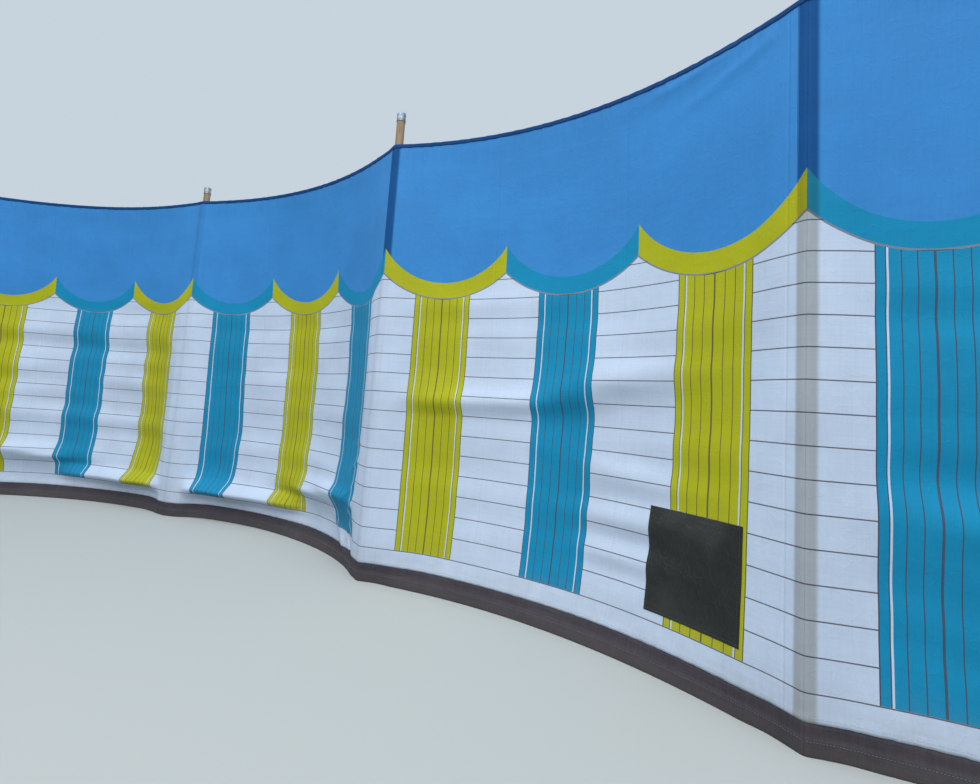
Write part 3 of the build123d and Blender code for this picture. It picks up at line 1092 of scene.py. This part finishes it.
class WINDBREAK_OT_printed_cloth(bpy.types.Operator):
    """Lays the printed cloth of every bay between its poles"""

    bl_idname = "windbreak.printed_cloth"
    bl_label = "Printed Cloth"

    def execute(self, context):
        """Each bay is a grid of heights by lengths; its lowest rows stand out a little as a hem."""
        cloth = context.scene.windbreak_cloth
        front_side = printed_cloth_material("Printed Cloth Front", 1.0)
        back_side = printed_cloth_material("Printed Cloth Back", 0.55)
        thread = thread_material("White Thread", (0.66, 0.72, 0.82))
        folded_to, puckered_from = 0.40, cloth.top - 0.07
        heights = np.concatenate(
            (
                np.linspace(STRIP_TOP, folded_to, 72, endpoint=False),
                np.linspace(folded_to, puckered_from, 78, endpoint=False),
                np.linspace(puckered_from, cloth.top, 15),
            )
        )[:, None]
        hem = cloth.hem_fold * (1 - smooth_step(heights, STRIP_TOP + 0.010, STRIP_TOP + 0.013))
        for number, bay in enumerate(read_bays()):
            along = bay.columns(0.0085)[None, :]
            half = cloth.thickness / 2 + np.broadcast_to(hem, (len(heights), along.size))
            front = on_cloth(bay, number, along, heights, half)
            back = on_cloth(bay, number, along, heights, -half)
            lengths = np.broadcast_to(bay.printed(number, along, cloth.bay_cut), half.shape)
            uv = np.stack((lengths, np.broadcast_to(heights, half.shape)), axis=-1)
            piece = closed_sheet(f"printed_cloth_{number + 1}", front, back, uv, [front_side, back_side])
            dress(piece, f"cloth_bay_{number + 1}")
            row, face = STRIP_TOP + FOOT_ROW, cloth.thickness / 2 + cloth.hem_fold
            name = f"foot_stitches_{number + 1}"
            stitches = stitched_along(name, bay, number, row, face, thread)
        return {"FINISHED"}


class WINDBREAK_OT_top_tape(bpy.types.Operator):
    """Folds the dark tape over the upper edge of every bay and stitches it down"""

    bl_idname = "windbreak.top_tape"
    bl_label = "Top Tape"

    def execute(self, context):
        """The tape's section is a hairpin: up its front, round over the cloth's edge, down its back, and
        back the same way inside. Its lower edges wander a little along the cloth."""
        scene = context.scene
        cloth, trim, finish = scene.windbreak_cloth, scene.windbreak_trim, scene.windbreak_finish
        material = plain_cloth_material(
            "Navy Tape", finish.tape_colour[:], 0.66, pitch=0.0012, depth=0.00005, crumple=0.0004, dusty=0.0
        )
        thread = thread_material("Navy Thread", (0.02, 0.09, 0.30))
        inner = cloth.thickness / 2 + cloth.seat_gap
        outer = inner + trim.tape_thickness
        foot, brow = tape_low.z, tape_high.z
        # Air over the cloth's edge, how round its corners are, the tape's width and what of it wanders
        room, roundness, wide, loose = 0.0008, 0.4, 0.03, 0.004
        bend = np.linspace(0, math.pi, 9)
        over = np.stack((np.cos(bend) * outer, brow - outer + np.sin(bend) * outer), axis=-1)
        square = np.sign(np.cos(bend)) * np.abs(np.cos(bend)) ** roundness, np.sin(bend) ** roundness
        under = np.stack((square[0] * inner, cloth.top - room + square[1] * room), axis=-1)[::-1]
        rise = np.linspace(foot, brow - outer, 5)[:-1]
        front_leg = np.stack((np.full(4, outer), rise), axis=-1)
        back_leg = np.stack((np.full(4, -outer), rise[::-1]), axis=-1)
        inner_rise = np.linspace(foot, cloth.top - room, 5)[:-1]
        inner_back = np.stack((np.full(4, -inner), inner_rise), axis=-1)
        inner_front = np.stack((np.full(4, inner), inner_rise[::-1]), axis=-1)
        profile = np.concatenate((front_leg, over, back_leg, inner_back, under, inner_front))
        span = np.linspace(0, 1, len(profile), endpoint=False) * wide
        for number, bay in enumerate(read_bays()):
            along = bay.columns(0.006)
            lowest = np.clip((foot + loose - profile[:, 1]) / loose, 0, 1)
            waves = enumerate(EDGE_WAVES, 1)
            wander = sum(rise * np.sin(along * rate + count * number) for count, (rise, rate) in waves)
            height = profile[:, 1][None, :] + wander[:, None] * lowest[None, :]
            out = np.broadcast_to(profile[:, 0], height.shape)
            piece = swept_along(f"top_tape_{number + 1}", bay, number, along, height, out, span, material)
            dress(piece, f"top_binding_{number + 1}")
            name = f"tape_stitches_{number + 1}"
            stitches = stitched_along(name, bay, number, foot + TAPE_ROW, outer, thread)
        return {"FINISHED"}


class WINDBREAK_OT_ground_strip(bpy.types.Operator):
    """Hangs the dark strip under the printed cloth of every bay, with its hem stitched"""

    bl_idname = "windbreak.ground_strip"
    bl_label = "Ground Strip"

    def execute(self, context):
        """The strip's section is a long slot shape. Its lower half is a hem that is folded double,
        pressed in along its row of stitches."""
        scene = context.scene
        cloth, finish = scene.windbreak_cloth, scene.windbreak_finish
        material = plain_cloth_material(
            "Dark Strip", finish.strip_colour[:], 0.7, pitch=0.0013, depth=0.00006, crumple=0.0012, dusty=0.22
        )
        thread = thread_material("Grey Blue Thread", (0.20, 0.27, 0.40))
        thick, hem, both_sides = cloth.thickness / 2, cloth.thickness / 2 + cloth.hem_fold, 0.12
        side = np.array(
            [
                (hem * 0.75, 0.0),
                (hem, 0.0012),
                (hem * 1.05, 0.006),
                (hem * 1.06, 0.013),
                (hem * 1.05, 0.020),
                (hem * 0.97, 0.0245),
                (hem, 0.0275),
                (hem * 0.9, 0.0285),
                (thick, 0.0292),
                (thick, 0.037),
                (thick, 0.046),
                (thick, STRIP_TOP),
            ]
        )
        profile = np.concatenate((side, side[::-1] * (-1, 1)))
        span = np.concatenate((side[:, 1], both_sides - side[::-1, 1]))
        for number, bay in enumerate(read_bays()):
            along = bay.columns(0.0085)
            height = np.broadcast_to(profile[:, 1], (along.size, len(profile)))
            out = np.broadcast_to(profile[:, 0], height.shape)
            piece = swept_along(f"dark_strip_{number + 1}", bay, number, along, height, out, span, material)
            dress(piece, f"ground_strip_{number + 1}")
            name = f"strip_stitches_{number + 1}"
            stitches = stitched_along(name, bay, number, STRIP_ROW, hem, thread)
        return {"FINISHED"}


def sleeve_walk(centre, seams, radius):
    """Walks once round a sleeve in plan: from the tangent point on the pole's circle straight out to
    a seam and straight back to the other tangent point, then round the pole to the next seam."""
    corners = []
    for seam in seams:
        away = seam - centre
        base = math.atan2(away[1], away[0])
        spread = math.acos(radius / math.hypot(*away))
        corners.append((seam, base - spread, base + spread))
    run = np.linspace(0, 1, 8)[1:-1, None]
    walk = []
    for current, following in zip(corners, corners[1:] + corners[:1]):
        tip, arrive, leave = current
        gap = (following[1] - leave) % (2 * math.pi)
        start = centre + direction(arrive) * radius
        arc = centre + direction(leave + np.linspace(0, gap, 24)) * radius
        walk += [start + (tip - start) * run, tip[None], tip + (arc[0] - tip) * run, arc]
    return np.concatenate(walk)


def walk_lengths(walk):
    """How far round a closed walk each of its points is, with the whole way round as the last."""
    return np.cumsum(np.linalg.norm(walk - np.roll(walk, 1, axis=0), axis=1))


def double_tube(name, outer, inside, uv, material):
    """A tube with a wall: the outer and the inner skin, each a grid of levels by points round the
    tube, joined by a flat ring at each end."""
    rows, columns = outer.shape[:2]
    count = rows * columns
    index = np.arange(count).reshape(rows, columns)
    wall = ring_quads(index)
    low = ring_quads(np.stack((index[0] + count, index[0])))
    high = ring_quads(np.stack((index[-1], index[-1] + count)))
    faces = np.concatenate((wall, wall[:, ::-1] + count, low, high))
    is_end = np.arange(len(faces)) >= 2 * len(wall)
    points = np.concatenate((outer.reshape(-1, 3), inside.reshape(-1, 3)))
    return make_piece(name, points, faces, [material], np.tile(uv.reshape(-1, 2), (2, 1)), None, is_end)


class WINDBREAK_OT_sleeves(bpy.types.Operator):
    """Sews the sleeve of every pole to the back of the cloth"""

    bl_idname = "windbreak.sleeves"
    bl_label = "Sleeves"

    def execute(self, context):
        """The sleeve's plan is carried up the pole. Its free side ripples as sine waves up the pole whose
        phase sways round it, and both ends have a turned hem that stands out."""
        scene = context.scene
        cloth, sleeves, finish = scene.windbreak_cloth, scene.windbreak_sleeves, scene.windbreak_finish
        material = plain_cloth_material(
            "Sleeve Cloth",
            finish.sleeve_colour[:],
            0.6,
            pitch=0.0011,
            depth=0.00003,
            crumple=0.0012,
            dusty=0.25,
        )
        thread = thread_material("Pale Thread", (0.55, 0.60, 0.70))
        outside = POLE_RADIUS + sleeves.ease + sleeves.thickness
        behind = cloth.thickness / 2 + cloth.seat_gap
        bays = read_bays()
        foot, brow = sleeve_low.z, sleeve_high.z
        level = np.concatenate(
            (
                np.linspace(foot, foot + sleeves.hem, 5),
                np.linspace(foot + sleeves.hem, brow - sleeves.hem, 74)[1:-1],
                np.linspace(brow - sleeves.hem, brow, 5),
            )
        )[:, None]
        from_end = np.minimum(level - foot, brow - level)
        hem = cloth.hem_fold * (1 - smooth_step(from_end, sleeves.hem - 0.002, sleeves.hem))
        # How far the free side stands off, how far and how fast its ripples sway, and their seed
        slack, sway, sway_rate, seed = 0.0019, 3, 40, 40
        for number in range(BAY_COUNT + 1):
            seams, sides = [], []
            for bay, from_left in self.neighbours(bays, number):
                place, front = bay.plan(np.array([bay.before + from_left(bay, sleeves.reach)]))
                seams.append((place - front * behind)[0])
                sides.append(-front[0])
            centre = bays[number].left if number < BAY_COUNT else bays[-1].right
            walk = sleeve_walk(centre, seams, outside)
            around = walk_lengths(walk)
            radial = unit(walk - centre)
            free = np.clip(radial @ unit(np.mean(sides, axis=0)), 0, 1) ** 1.5
            phase = np.random.default_rng(number + seed).uniform(0, 2 * math.pi, 3)
            ripple = 0
            for (wavelength, wave), turn in zip(SLEEVE_WAVES, phase):
                swing = sway * np.sin(around * sway_rate + turn)
                ripple = ripple + wave * np.sin(2 * math.pi * level / wavelength + turn + swing)
            away = radial * (free * (ripple + slack + hem))[..., None]
            heights = np.broadcast_to(level, away.shape[:2])[..., None]
            outer = np.concatenate((walk + away, heights), axis=-1)
            shrunk = centre + (walk - centre) * (1 - sleeves.thickness / outside)
            inside = np.concatenate((shrunk + away, heights), axis=-1)
            uv = np.stack(np.broadcast_arrays(around[None, :], level), axis=-1)
            piece = double_tube(f"pole_sleeve_{number + 1}", outer, inside, uv, material)
            dress(piece, f"pole_pocket_{number + 1}")
            stitches = self.seam_stitches(number, centre, seams, sides, thread)
        return {"FINISHED"}

    @staticmethod
    def neighbours(bays, number):
        """The bays beside a pole, each with how far along its belly the sleeve's seam is."""
        found = []
        if number < BAY_COUNT:
            found.append((bays[number], lambda bay, reach: reach))
        if number > 0:
            found.append((bays[number - 1], lambda bay, reach: bay.belly_length - reach))
        return found

    @staticmethod
    def seam_stitches(number, centre, seams, sides, thread):
        """Stitches up the back of the sleeve's edges, a little way in from each seam."""
        pitch = bpy.context.scene.windbreak_trim.stitch_pitch
        levels = np.arange(sleeve_low.z + pitch, sleeve_high.z, pitch)[:, None]
        places, facing = [], []
        for seam, side in zip(seams, sides):
            inward = unit(centre - seam)
            slope = POLE_RADIUS / np.linalg.norm(centre - seam)
            level = math.sqrt(1 - slope**2)
            spot = seam + SLEEVE_ROW * (inward * level + side * slope)
            out = side * level - inward * slope
            places.append(np.concatenate((np.broadcast_to(spot, (len(levels), 2)), levels), axis=1))
            facing.append(np.broadcast_to((*out, 0.0), (len(levels), 3)))
        place, outwards = np.concatenate(places), np.concatenate(facing)
        steep = np.broadcast_to((0.0, 0.0, 1.0), place.shape)
        stitches = stitch_row(f"sleeve_stitches_{number + 1}", place, steep, outwards, thread)
        return dress(stitches, None)


class WINDBREAK_OT_patch(bpy.types.Operator):
    """Sews the dark square patch to the front of the third bay"""

    bl_idname = "windbreak.patch"
    bl_label = "Sewn Patch"

    def execute(self, context):
        """The patch follows the folds of the cloth behind it, and its face rolls down to its edges as a
        quarter of an ellipse."""
        scene = context.scene
        cloth, trim, finish = scene.windbreak_cloth, scene.windbreak_trim, scene.windbreak_finish
        material = plain_cloth_material(
            "Patch Cloth",
            finish.patch_colour[:],
            0.36,
            pitch=0.0010,
            depth=0.00002,
            crumple=0.0032,
            dusty=0.1,
            woven=0.08,
            specular=0.55,
            # Strong broad clouds of painted sheen on the patch
            painted_sheen=0.8,
        )
        thread = thread_material("Patch Thread", (0.07, 0.13, 0.16))
        number = 2
        bay = read_bays()[number]
        right = bay.before + bay.belly_length - trim.patch_gap
        left = right - trim.patch_width
        low, high = patch_low.z, patch_high.z
        even = np.linspace(-1, 1, 61)
        shares = (np.sin(even * math.pi / 2) * 0.25 + even * 0.75 + 1) / 2
        along = (left + (right - left) * shares)[None, :]
        height = (low + (high - low) * shares)[:, None]
        along, height = np.broadcast_arrays(along, height)
        # The thickness at the edge and the width of its roll, and the depth and width of the seam's dip
        thin_edge, rolled, dip, dip_width = 0.0005, 0.0025, 0.0007, 0.0022
        inset = np.minimum(np.minimum(along - left, right - along), np.minimum(height - low, high - height))
        roll = np.sqrt(np.clip(1 - (1 - np.clip(inset / rolled, 0, 1)) ** 2, 0, 1))
        near = cloth.thickness / 2 + cloth.seat_gap
        dimple = dip * np.exp(-(((inset - PATCH_ROW) / dip_width) ** 2))
        back = on_cloth(bay, number, along, height, near)
        out = near + thin_edge + (trim.patch_thickness - thin_edge) * roll - dimple
        front = on_cloth(bay, number, along, height, out)
        uv = np.stack((along, height), axis=-1)
        piece = closed_sheet("sewn_square", front, back, uv, [material])
        dress(piece, "sewn_patch")

        sides = [(left + PATCH_ROW, right - PATCH_ROW), (low + PATCH_ROW, high - PATCH_ROW)]
        level, steep = (np.arange(*ends, trim.stitch_pitch) for ends in sides)
        sunk = 0.0003
        face = near + trim.patch_thickness - sunk
        rows = [surface_frame(bay, number, level, np.full(level.shape, edge), face, 0) for edge in sides[1]]
        rows += [surface_frame(bay, number, np.full(steep.shape, edge), steep, face, 1) for edge in sides[0]]
        place, way, outwards = (np.concatenate(parts) for parts in zip(*rows))
        stitches = stitch_row("patch_stitches", place, way, outwards, thread)
        dress(stitches, None)
        return {"FINISHED"}


class WINDBREAK_OT_poles_and_caps(bpy.types.Operator):
    """Gives the poles their wood and each pole end its pressed cap"""

    bl_idname = "windbreak.poles_and_caps"
    bl_label = "Poles and Caps"

    def execute(self, context):
        """A cap is a profile turned about its pole: a rolled lip, a wall that swells a little, a round
        shoulder and a shallow pressed ring on top, and the same again inside. Its heights are from
        its own lip."""
        wood = wood_material("Pine Pole")
        metal = cap_material("Zinc Cap")
        outside = (cap_high.x - cap_low.x) / 2
        wall = outside - POLE_RADIUS - CAP_FIT
        brow, bore = cap_high.z - cap_low.z, POLE_RADIUS + CAP_FIT
        shoulder, lip, centre = 0.0030, 0.001, 0.0004
        bend = np.linspace(0, math.pi / 2, 7)
        curl = np.linspace(math.pi / 2, -math.pi / 2, 6)
        rounded = (outside - shoulder + np.sin(bend) * shoulder, brow - shoulder + np.cos(bend) * shoulder)
        rolled = (outside - wall / 2 + np.cos(curl) * (wall / 2 + 0.0004), lip + np.sin(curl) * lip)
        profile = np.concatenate(
            (
                [(centre, brow), (0.0070, brow), (0.0086, brow - 0.0006), (0.0100, brow - 0.0001)],
                np.stack(rounded, axis=-1),
                [(outside, 0.020), (outside + 0.0001, 0.010), (outside, 0.0030)],
                np.stack(rolled, axis=-1),
                [(bore, 0.002), (bore, brow - wall - 0.0012), (0.0125, brow - wall), (centre, brow - wall)],
            )
        )
        turn, uneven = np.linspace(0, 2 * math.pi, 48, endpoint=False), 0.004
        for number in range(BAY_COUNT + 1):
            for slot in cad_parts[f"pole_{number + 1}"].material_slots:
                slot.material = wood
            low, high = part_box(f"pole_{number + 1}")
            x, y = (low.x + high.x) / 2, (low.y + high.y) / 2
            dent = 1 + uneven * np.sin(3 * turn + number) * np.sin(5 * turn + 2 * number)
            across, rise = profile[:, :1], profile[:, 1:]
            radius = across * np.where(across > POLE_RADIUS + 0.0002, dent, 1.0)
            level = np.broadcast_to(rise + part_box(f"pole_cap_{number + 1}")[0].z, radius.shape)
            rings = np.stack((x + radius * np.cos(turn), y + radius * np.sin(turn), level), axis=-1)
            piece = swept_tube(f"zinc_cap_{number + 1}", rings, rings[..., :2], [metal])
            dress(piece, f"pole_cap_{number + 1}")
        return {"FINISHED"}


# Each soft light's name, place, target, width in metres, power in watts and colour
LAMPS = (
    ("Overhead", (0.6, -2.0, 4.2), (0.4, 0.2, 0.4), 5.0, 170, (0.95, 0.98, 1.0)),
    ("Front", (4.4, -5.4, 4.2), (0.2, 0.0, 0.7), 4.5, 112, (1.0, 0.99, 0.97)),
    ("Back", (-1.8, 5.6, 4.2), (0.0, 0.0, 0.8), 5.0, 100, (0.97, 0.98, 1.0)),
)


def stand(name, data, right, up, back, place):
    """An object in the scene whose own axes point right, up and back, at a place."""
    turn = np.eye(4)
    turn[:3, 0], turn[:3, 1], turn[:3, 2], turn[:3, 3] = right, up, back, place
    thing = bpy.data.objects.new(name, data)
    bpy.context.scene.collection.objects.link(thing)
    thing.matrix_world = Matrix(turn.tolist())
    return thing


class WINDBREAK_OT_stage(bpy.types.Operator):
    """Sets the floor, the soft lights and the camera"""

    bl_idname = "windbreak.stage"
    bl_label = "Stage"

    def execute(self, context):
        """The camera looks along its heading, tips up by its pitch and then rolls about that line."""
        scene = context.scene
        stage = scene.windbreak_stage
        self.floor(stage)
        for lamp in LAMPS:
            self.light(*lamp)
        world = bpy.data.worlds.new("Pale Sky")
        world.use_nodes = True
        background = world.node_tree.nodes["Background"]
        background.inputs["Color"].default_value = (*stage.sky_colour, 1.0)
        as_light, as_seen = 0.53, 0.95
        s = Shades(world.node_tree)
        to_camera = s.add("ShaderNodeLightPath").outputs["Is Camera Ray"]
        s.feed(background.inputs["Strength"], s.ramp(to_camera, 0.0, 1.0, as_light, as_seen))
        scene.world = world
        scene.view_settings.view_transform = "Standard"

        angles = np.array([stage.heading, stage.pitch, stage.roll])
        cos_heading, cos_pitch, cos_roll = np.cos(angles)
        sin_heading, sin_pitch, sin_roll = np.sin(angles)
        across = np.array([cos_heading, sin_heading, 0.0])
        ahead = np.array([-sin_heading * cos_pitch, cos_heading * cos_pitch, sin_pitch])
        upright = np.cross(across, ahead)
        right = cos_roll * across + sin_roll * upright
        up = cos_roll * upright - sin_roll * across
        lens = bpy.data.cameras.new("Camera")
        lens.sensor_width = 36
        lens.lens = stage.lens
        lens.shift_x, lens.shift_y = stage.shift
        lens.clip_start = 0.02
        scene.camera = stand("Camera", lens, right, up, -ahead, stage.place[:])
        return {"FINISHED"}

    @staticmethod
    def floor(stage):
        """A pale square on the ground, with the faintest clouding. Camera rays see it paler, the more so
        the farther it is from the origin, where less light falls."""
        material, s, shader = new_material("Pale Floor", roughness=0.8, specular=0.2)
        space = s.space()
        colour = stage.floor_colour[:]
        near, far, near_share, far_share = 2.5, 9.0, 1.74, 2.85
        reach = s.add("ShaderNodeVectorMath", operation="LENGTH")
        s.feed(reach.inputs[0], space)
        way_out = s.ramp(reach.outputs["Value"], near, far)
        seen = s.mix(way_out, tint(colour, near_share), tint(colour, far_share))
        to_camera = s.add("ShaderNodeLightPath").outputs["Is Camera Ray"]
        plain = s.mix(s.noise(space, 1.5), tint(colour, 0.96), colour)
        s.feed(shader.inputs["Base Color"], s.mix(to_camera, plain, seen))
        half, depth = 90.0, -0.0005
        corners = [(-half, -half, depth), (half, -half, depth), (half, half, depth), (-half, half, depth)]
        mesh = bpy.data.meshes.new("floor")
        mesh.from_pydata(corners, [], [(0, 1, 2, 3)])
        mesh.materials.append(material)
        floor = bpy.data.objects.new("floor", mesh)
        bpy.context.scene.collection.objects.link(floor)

    @staticmethod
    def light(name, place, target, size, power, colour):
        """A square soft light at a place, turned to face a target."""
        lamp = bpy.data.lights.new(name, "AREA")
        lamp.shape, lamp.size, lamp.energy, lamp.color = "SQUARE", size, power, colour
        back = unit(np.subtract(place, target))
        side = unit(np.cross((0.0, 0.0, 1.0), back))
        stand(name, lamp, side, np.cross(back, side), back, place).visible_camera = False


class WINDBREAK_PT_panel(bpy.types.Panel):
    """Lists what the windbreak is built from, with the sizes and colours of each group"""

    bl_label = "Windbreak"
    bl_idname = "WINDBREAK_PT_panel"
    bl_space_type = "VIEW_3D"
    bl_region_type = "UI"
    bl_category = "Windbreak"

    def draw(self, context):
        """A button for each step, then the fields of each group."""
        for step in STEPS:
            self.layout.operator(step.bl_idname)
        for group in GROUPS:
            box = self.layout.box()
            values = getattr(context.scene, GROUPS[group])
            for field in group.__annotations__:
                box.prop(values, field)


# The groups of sizes and colours with their names on the scene, and the steps in the order they run
GROUPS = {
    WindbreakCloth: "windbreak_cloth",
    WindbreakSleeves: "windbreak_sleeves",
    WindbreakTrim: "windbreak_trim",
    WindbreakPrint: "windbreak_print",
    WindbreakFinish: "windbreak_finish",
    WindbreakStage: "windbreak_stage",
}
STEPS = (
    WINDBREAK_OT_stage,
    WINDBREAK_OT_printed_cloth,
    WINDBREAK_OT_top_tape,
    WINDBREAK_OT_ground_strip,
    WINDBREAK_OT_sleeves,
    WINDBREAK_OT_patch,
    WINDBREAK_OT_poles_and_caps,
)


def register():
    """Adds the groups of sizes and colours, the steps and the panel."""
    for group, name in GROUPS.items():
        bpy.utils.register_class(group)
        setattr(bpy.types.Scene, name, PointerProperty(type=group))
    for step in (*STEPS, WINDBREAK_PT_panel):
        bpy.utils.register_class(step)


def unregister():
    """Takes away what register added."""
    for step in (WINDBREAK_PT_panel, *reversed(STEPS)):
        bpy.utils.unregister_class(step)
    for group, name in GROUPS.items():
        delattr(bpy.types.Scene, name)
        bpy.utils.unregister_class(group)


def main():
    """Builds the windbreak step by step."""
    register()
    bpy.ops.windbreak.stage()
    bpy.ops.windbreak.printed_cloth()
    bpy.ops.windbreak.top_tape()
    bpy.ops.windbreak.ground_strip()
    bpy.ops.windbreak.sleeves()
    bpy.ops.windbreak.patch()
    bpy.ops.windbreak.poles_and_caps()


if __name__ == "__main__":
    main()
